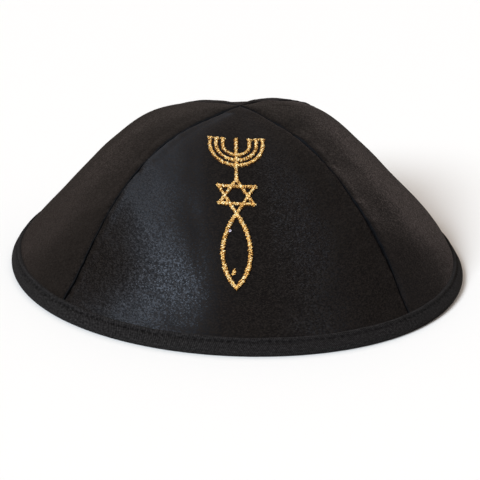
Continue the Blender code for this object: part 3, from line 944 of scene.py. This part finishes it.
def gold_material():
    """Glossy gold thread, with painted shade at the ends of each stitch, where it goes down into
    the cloth.
    """
    made, tree, shader = new_material("gold_embroidery_thread")
    place = add_node(tree, "SeparateXYZ", {"Vector": attribute(tree, "place")}).outputs
    around = add_node(tree, "TexCoord", {}).outputs["Object"]
    glints = noise_texture(tree, around, 2400.0, detail=0.0)["Fac"]
    tone = mixed(tree, "FLOAT", 0.65, place["X"], glints)
    # Painted shade at the ends of each stitch, where the thread goes down into the cloth.
    painted_end_shade = maths(tree, "POWER", place["Y"], 4.0)
    colour = ramp(
        tree,
        maths(tree, "MULTIPLY_ADD", painted_end_shade, -0.35, tone),
        (0.32, (0.075, 0.022, 0.003)),
        (0.43, (0.62, 0.29, 0.055)),
        (0.54, (1.0, 0.66, 0.21)),
        (0.67, (1.0, 0.94, 0.64)),
    )
    twist = {"Vector": scaled_place(tree, (3, 4, 1)), "Scale": 2.0, "Distortion": 1.0}
    plies = add_node(tree, "TexWave", twist, bands_direction="DIAGONAL").outputs["Fac"]
    inputs = {
        "Base Color": colour,
        "Normal": relief(tree, plies, 0.6, 0.00008),
        "Roughness": 0.40,
        "Metallic": 0.5,
    }
    wire(tree, shader, inputs)
    return made


# Assembly

satin = satin_material()
for gore in GORES:
    piece = gore_object(gore)
    piece.data.materials.append(satin)
    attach(piece, "root")
    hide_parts(f"panel_{gore}")

tape = band_object()
tape.data.materials.append(tape_material())
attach(tape, "root")
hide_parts("rim_band")

topstitch = topstitch_object()
black_thread = twisted_thread_material(
    "black_sewing_thread",
    scale=3.0,
    dark=(0.001, 0.001, 0.001),
    light=(0.004, 0.004, 0.004),
    finish={"Roughness": 0.55, "Specular IOR Level": 0.04},
)
topstitch.data.materials.append(black_thread)
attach(topstitch, "root")

gold = gold_material()
emblem = thread_object("emblem_satin_stitch", emblem_lines(), seed=5)
emblem.data.materials.append(gold)
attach(emblem, "root")
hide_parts("embroidery_emblem")

loop = loop_object()
pale_thread = twisted_thread_material(
    "pale_under_thread",
    scale=4.0,
    dark=(0.42, 0.38, 0.50),
    light=(0.80, 0.76, 0.86),
    finish={"Roughness": 0.6},
)
loop.data.materials.append(pale_thread)
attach(loop, "root")

eye = thread_object("fish_eye_stitch", [(np.array(EYE_ENDS), EYE, 0)], seed=8)
eye.data.materials.append(gold)
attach(eye, "root")
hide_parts("embroidery_fish_eye")


# Floor, light and camera

FLOOR_REACH = 4.0
COOL = (0.86, 0.93, 1.0)
WARM = (1.0, 0.78, 0.72)
SKY = (1.0, 0.88, 0.79, 1)
CAMERA_AWAY = 0.5  # as fitted to the photo's rim and seams, like the two angles
CAMERA_RISE = math.radians(22.45)
CAMERA_ROLL = math.radians(2.0)

floor_mesh = bpy.data.meshes.new("floor")
corners = [(x * FLOOR_REACH, y * FLOOR_REACH, 0) for x, y in ((-1, -1), (1, -1), (1, 1), (-1, 1))]
floor_mesh.from_pydata(corners, [], [(0, 1, 2, 3)])
floor = bpy.data.objects.new("floor", floor_mesh)
bpy.context.scene.collection.objects.link(floor)
floor_look, floor_tree, floor_shader = new_material("white_paper")
paper = {"Base Color": (0.92, 0.92, 0.91, 1), "Roughness": 0.8, "Specular IOR Level": 0.1}
wire(floor_tree, floor_shader, paper)
floor_mesh.materials.append(floor_look)
floor.visible_glossy = False  # the cloth would mirror it as a bright haze


def soft_sun(name, azimuth, elevation, spread, strength, colour, gloss_only=False):
    """A broad, even light; azimuth 0 is in front and 90 to the right."""
    lamp = bpy.data.lights.new(name, "SUN")
    lamp.angle = math.radians(spread)
    lamp.energy = strength
    lamp.color = colour
    turn, rise = math.radians(azimuth), math.radians(elevation)
    level = math.cos(rise)
    towards = Vector((math.sin(turn) * level, -math.cos(turn) * level, math.sin(rise)))
    made = bpy.data.objects.new(name, lamp)
    made.rotation_mode = "QUATERNION"
    made.rotation_quaternion = towards.to_track_quat("Z", "Y")
    made.visible_diffuse = not gloss_only
    bpy.context.scene.collection.objects.link(made)


soft_sun("cool_key", -35, 29, 20, 4.6, COOL)
soft_sun("cool_card", 62, 60, 14, 0.38, COOL, gloss_only=True)
soft_sun("warm_card_right", 145, 16, 30, 0.17, WARM, gloss_only=True)
soft_sun("warm_card_left", -145, 16, 30, 0.08, WARM, gloss_only=True)

world = bpy.data.worlds.new("studio")
world.use_nodes = True
studio = world.node_tree
around = add_node(studio, "TexCoord", {}).outputs["Generated"]
upwards = add_node(studio, "SeparateXYZ", {"Vector": around}).outputs["Z"]
overhead = remapped(studio, upwards, 0.05, 0.60, end=0.75)
wire(studio, studio.nodes["Background"], {"Color": SKY, "Strength": overhead})
bpy.context.scene.world = world
bpy.context.scene.view_settings.view_transform = "Standard"

camera_data = bpy.data.cameras.new("camera")
camera_data.sensor_width = 36.0
camera_data.lens = 95.625
camera_data.shift_x = 0.00385
camera_data.shift_y = 0.03125
camera = bpy.data.objects.new("camera", camera_data)
bpy.context.scene.collection.objects.link(camera)
back = Vector((0, -math.cos(CAMERA_RISE), math.sin(CAMERA_RISE)))
level, upright = Vector((1, 0, 0)), Vector((0, math.sin(CAMERA_RISE), math.cos(CAMERA_RISE)))
right = level * math.cos(CAMERA_ROLL) + upright * math.sin(CAMERA_ROLL)
up = upright * math.cos(CAMERA_ROLL) - level * math.sin(CAMERA_ROLL)
pose = Matrix((right, up, back)).transposed().to_4x4()
pose.translation = back * CAMERA_AWAY
camera.matrix_world = pose
bpy.context.scene.camera = camera
